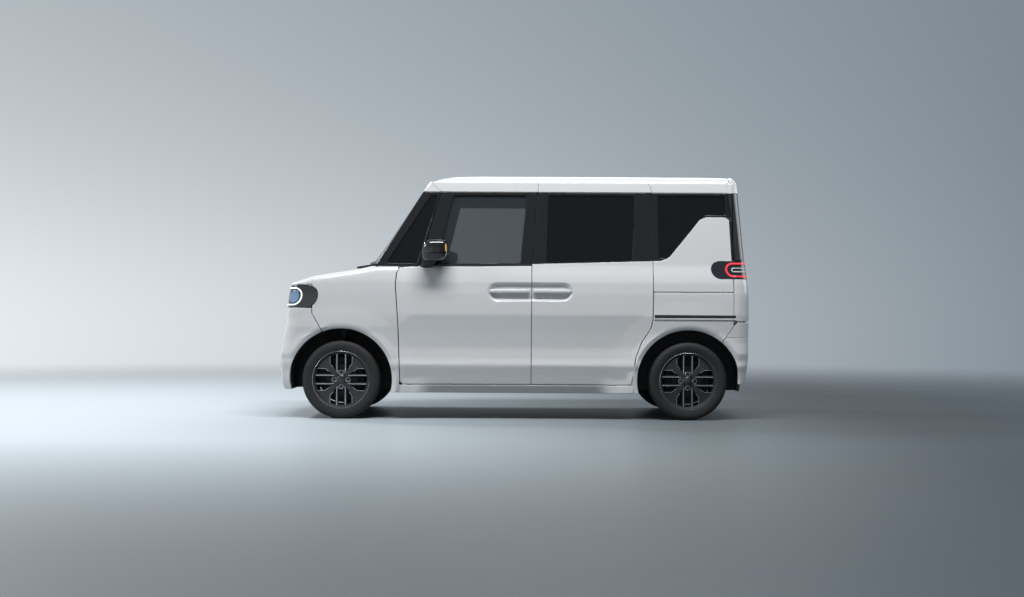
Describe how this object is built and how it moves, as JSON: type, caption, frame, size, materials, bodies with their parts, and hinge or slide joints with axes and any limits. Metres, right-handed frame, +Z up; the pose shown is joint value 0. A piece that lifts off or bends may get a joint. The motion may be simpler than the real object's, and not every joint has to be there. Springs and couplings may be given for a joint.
{
  "type": "kei car",
  "caption": "Tall four-door kei wagon with rear sliding doors, short bonnet, upright tail, dark glass and two-tone alloy wheels.",
  "frame": {"origin": "on the ground under the middle of the car's length and width", "axes": "-X forwards, +X rearwards, -Y to the car's left side, +Y to its right side, +Z up"},
  "size_m": [3.395, 1.799, 1.7839],
  "materials": {
    "body_white": "pearl white gloss paint",
    "black_trim": "fine-grained black",
    "gloss_black": "gloss black",
    "lamp": "clear lens over dark lamp",
    "tail_lamp": "red and clear lens",
    "glass": "tinted",
    "privacy_glass": "dark tinted",
    "underbody": "satin black underseal",
    "steel": "satin",
    "cast_iron": "raw",
    "alloy": "dark grey paint with machined faces",
    "tyre": "rubber",
    "seat_fabric": "woven",
    "dash": "grained"
  },
  "bodies": {
    "root": {"side_frame_left": "body_white", "side_frame_right": "body_white", "roof": "body_white", "front_fenders": "body_white", "headlamps": "lamp", "tail_lamps": "tail_lamp", "front_bumper": "body_white", "grille": "gloss_black", "rear_bumper": "body_white", "cowl": "black_trim", "windshield": "glass", "side_glass": "privacy_glass", "sliding_door_left": "body_white", "sliding_door_right": "body_white", "floor_pan": "underbody", "front_suspension": "cast_iron", "rear_axle": "cast_iron", "engine": "cast_iron", "fuel_tank": "black_trim", "exhaust": "steel", "dashboard": "dash", "steering_column": "dash", "front_seat_left": "seat_fabric", "front_seat_right": "seat_fabric", "rear_seat": "seat_fabric"},
    "front_door_left": {"front_door_left": "body_white", "front_door_glass_left": "glass", "mirror_left": "gloss_black"},
    "front_door_right": {"front_door_right": "body_white", "front_door_glass_right": "glass", "mirror_right": "gloss_black"},
    "bonnet": {"bonnet": "body_white"},
    "tailgate": {"tailgate": "body_white", "tailgate_glass": "privacy_glass"},
    "steering_wheel": {"steering_wheel": "dash"},
    "knuckle_left": {"knuckle_left": "cast_iron"},
    "knuckle_right": {"knuckle_right": "cast_iron"},
    "wheel_front_left": {"tyre_front_left": "tyre", "rim_front_left": "alloy"},
    "wheel_front_right": {"tyre_front_right": "tyre", "rim_front_right": "alloy"},
    "wheel_rear_left": {"tyre_rear_left": "tyre", "rim_rear_left": "alloy"},
    "wheel_rear_right": {"tyre_rear_right": "tyre", "rim_rear_right": "alloy"}
  },
  "joints": [
    {"name": "front_door_left_hinge", "type": "hinge", "parent": "root", "child": "front_door_left", "pos_m": [-0.8885, -0.7005, 0.745], "axis": [0, 0, -1], "range_deg": [0, 70]},
    {"name": "front_door_right_hinge", "type": "hinge", "parent": "root", "child": "front_door_right", "pos_m": [-0.8885, 0.7005, 0.745], "axis": [0, 0, 1], "range_deg": [0, 70]},
    {"name": "bonnet_hinge", "type": "hinge", "parent": "root", "child": "bonnet", "pos_m": [-1.0925, 0, 1.07], "axis": [0, 1, 0], "range_deg": [0, 50]},
    {"name": "tailgate_hinge", "type": "hinge", "parent": "root", "child": "tailgate", "pos_m": [1.5225, 0, 1.73], "axis": [0, -1, 0], "range_deg": [0, 80]},
    {"name": "steer_left", "type": "hinge", "parent": "root", "child": "knuckle_left", "pos_m": [-1.2365, -0.6, 0.17], "axis": [0, 0.2149, 0.9766], "range_deg": [-36, 36]},
    {"name": "steer_right", "type": "hinge", "parent": "root", "child": "knuckle_right", "pos_m": [-1.2365, 0.6, 0.17], "axis": [0, -0.2149, 0.9766], "range_deg": [-36, 36]},
    {"name": "steering_wheel_turn", "type": "hinge", "parent": "root", "child": "steering_wheel", "pos_m": [-0.5965, 0.34, 0.93], "axis": [0.9063, 0, 0.4226], "range_deg": [-540, 540]},
    {"name": "roll_front_left", "type": "hinge", "parent": "knuckle_left", "child": "wheel_front_left", "pos_m": [-1.2365, -0.6525, 0.281], "axis": [0, -1, 0], "continuous": true},
    {"name": "roll_front_right", "type": "hinge", "parent": "knuckle_right", "child": "wheel_front_right", "pos_m": [-1.2365, 0.6525, 0.281], "axis": [0, -1, 0], "continuous": true},
    {"name": "roll_rear_left", "type": "hinge", "parent": "root", "child": "wheel_rear_left", "pos_m": [1.2585, -0.6525, 0.281], "axis": [0, -1, 0], "continuous": true},
    {"name": "roll_rear_right", "type": "hinge", "parent": "root", "child": "wheel_rear_right", "pos_m": [1.2585, 0.6525, 0.281], "axis": [0, -1, 0], "continuous": true}
  ],
  "couplings": [
    {"joint": "steer_right", "follows": "steer_left", "ratio": 1},
    {"joint": "steering_wheel_turn", "follows": "steer_left", "ratio": 15}
  ]
}
